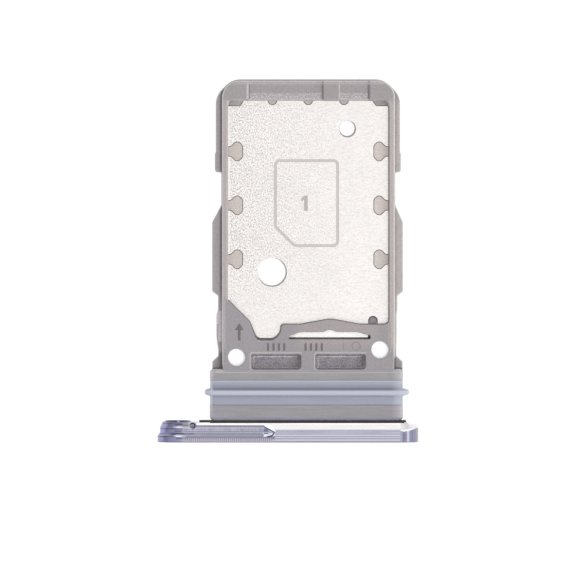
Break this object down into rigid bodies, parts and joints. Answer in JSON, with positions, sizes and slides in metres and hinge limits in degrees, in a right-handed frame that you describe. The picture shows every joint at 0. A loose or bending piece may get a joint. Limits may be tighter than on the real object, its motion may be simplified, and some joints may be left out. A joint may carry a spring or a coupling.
{
  "type": "sim card tray",
  "caption": "Flat card tray with a shallow pocket on each face, guide rails, a neck with a soft seal round it, and a pill-shaped end cap with a hole for an ejector pin.",
  "frame": {"origin": "middle of the cap's front face, at mid height", "axes": "+Y is the way the tray is pushed into the device, +X runs along the cap away from the pin hole's end, +Z is out of the face that the picture shows"},
  "size_m": [0.0144, 0.0202, 0.0022],
  "materials": {
    "tray_plastic": "fine spark-eroded grain, warm grey, glass-filled",
    "plate_steel": "bright rolled stainless sheet",
    "seal_silicone": "satin, blue-grey",
    "film_black": "matt black film",
    "cap_aluminium": "anodised, milled lines along its length, hairline-brushed front"
  },
  "bodies": {
    "root": {"tray_frame": "tray_plastic", "card_plate": "plate_steel", "seal_ring": "seal_silicone", "bond_film": "film_black", "end_cap": "cap_aluminium"}
  },
  "joints": []
}
